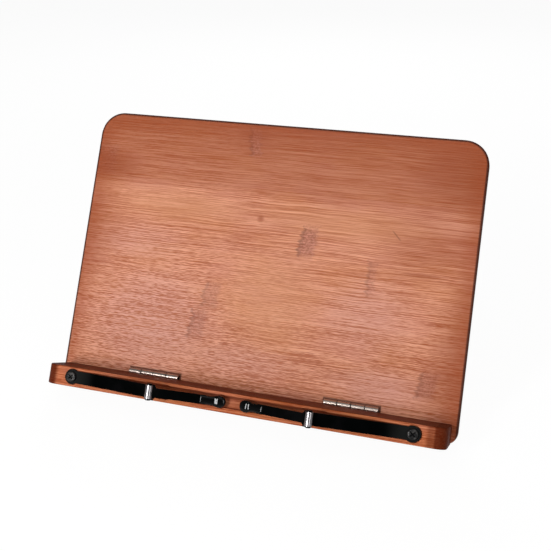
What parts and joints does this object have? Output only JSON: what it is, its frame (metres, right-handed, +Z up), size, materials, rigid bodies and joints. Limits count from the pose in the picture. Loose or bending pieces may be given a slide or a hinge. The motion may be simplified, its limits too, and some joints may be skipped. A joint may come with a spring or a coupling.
{
  "type": "reading stand",
  "caption": "Reading stand of stained bamboo: a leaning board, a hinged ledge with two sprung page clips, and a folding rear leg held by a sliding stay.",
  "frame": {"origin": "centre of the footprint, on the surface the stand rests on", "axes": "+X along the board to the viewer's right, +Z up, the front faces -Y"},
  "size_m": [0.34, 0.2034, 0.213],
  "materials": {
    "stained_bamboo": "semi-gloss lacquer",
    "nickel": "nickel plated",
    "bright_sleeve": "polished",
    "black_paint": "satin black",
    "plain_steel": "plain",
    "black_dip": "gloss dipped",
    "zinc_steel": "zinc plated",
    "cap_plastic": "matte"
  },
  "bodies": {
    "board": {"backboard": "stained_bamboo", "board_leaf_screws": "nickel", "leg_bracket_screws": "zinc_steel", "rail_screws": "zinc_steel", "left_hinge_board_leaf": "nickel", "left_leg_bracket": "zinc_steel", "left_slotted_rail": "zinc_steel", "right_hinge_board_leaf": "nickel", "right_leg_bracket": "zinc_steel", "right_slotted_rail": "zinc_steel"},
    "ledge": {"ledge_bar": "stained_bamboo", "ledge_leaf_screws": "nickel", "left_hinge_ledge_leaf": "nickel", "left_hinge_pin": "nickel", "left_pivot_washer": "plain_steel", "left_pivot_screw": "black_paint", "right_hinge_ledge_leaf": "nickel", "right_hinge_pin": "nickel", "right_pivot_washer": "plain_steel", "right_pivot_screw": "black_paint"},
    "left_clip_lower": {"left_clip_lower_arm": "black_paint", "left_clip_sleeve": "bright_sleeve", "left_clip_spring": "plain_steel", "left_clip_pin": "plain_steel"},
    "left_clip_upper": {"left_clip_upper_arm": "black_paint", "left_clip_tip": "black_dip"},
    "right_clip_lower": {"right_clip_lower_arm": "black_paint", "right_clip_sleeve": "bright_sleeve", "right_clip_spring": "plain_steel", "right_clip_pin": "plain_steel"},
    "right_clip_upper": {"right_clip_upper_arm": "black_paint", "right_clip_tip": "black_dip"},
    "rear_leg": {"rear_leg": "stained_bamboo", "left_leg_pin": "zinc_steel", "left_stay_pin": "zinc_steel", "left_stay_spacer": "zinc_steel", "right_leg_pin": "zinc_steel", "right_stay_pin": "zinc_steel", "right_stay_spacer": "zinc_steel"},
    "stay": {"stay_rod": "zinc_steel", "left_stay_link": "zinc_steel", "left_rod_cap": "cap_plastic", "right_stay_link": "zinc_steel", "right_rod_cap": "cap_plastic"}
  },
  "joints": [
    {"name": "ledge_fold", "type": "hinge", "parent": "board", "child": "ledge", "pos_m": [0, -0.04344, 0.01858], "axis": [1, 0, 0], "range_deg": [-90, 0]},
    {"name": "left_clip_swing", "type": "hinge", "parent": "ledge", "child": "left_clip_lower", "pos_m": [-0.14, -0.08117, 0.02894], "axis": [0, -0.8788, 0.4772], "range_deg": [0, 110]},
    {"name": "right_clip_swing", "type": "hinge", "parent": "ledge", "child": "right_clip_lower", "pos_m": [0.14, -0.08117, 0.02894], "axis": [0, 0.8788, -0.4772], "range_deg": [0, 110]},
    {"name": "left_clip_flap", "type": "hinge", "parent": "left_clip_lower", "child": "left_clip_upper", "pos_m": [-0.0645, -0.09647, 0.03724], "axis": [0, -0.4772, -0.8788], "range_deg": [0, 60], "stiffness_Nm_per_rad": 0.03, "springref_deg": -22.92},
    {"name": "right_clip_flap", "type": "hinge", "parent": "right_clip_lower", "child": "right_clip_upper", "pos_m": [0.0645, -0.09647, 0.03724], "axis": [0, 0.4772, 0.8788], "range_deg": [0, 60], "stiffness_Nm_per_rad": 0.03, "springref_deg": -22.92},
    {"name": "leg_fold", "type": "hinge", "parent": "board", "child": "rear_leg", "pos_m": [0, 0.04153, 0.14176], "axis": [1, 0, 0], "range_deg": [-50, 0]},
    {"name": "stay_fold", "type": "hinge", "parent": "rear_leg", "child": "stay", "pos_m": [0, 0.06352, 0.08594], "axis": [1, 0, 0], "range_deg": [0, 100]}
  ],
  "couplings": [
    {"joint": "stay_fold", "follows": "leg_fold", "ratio": -2}
  ]
}
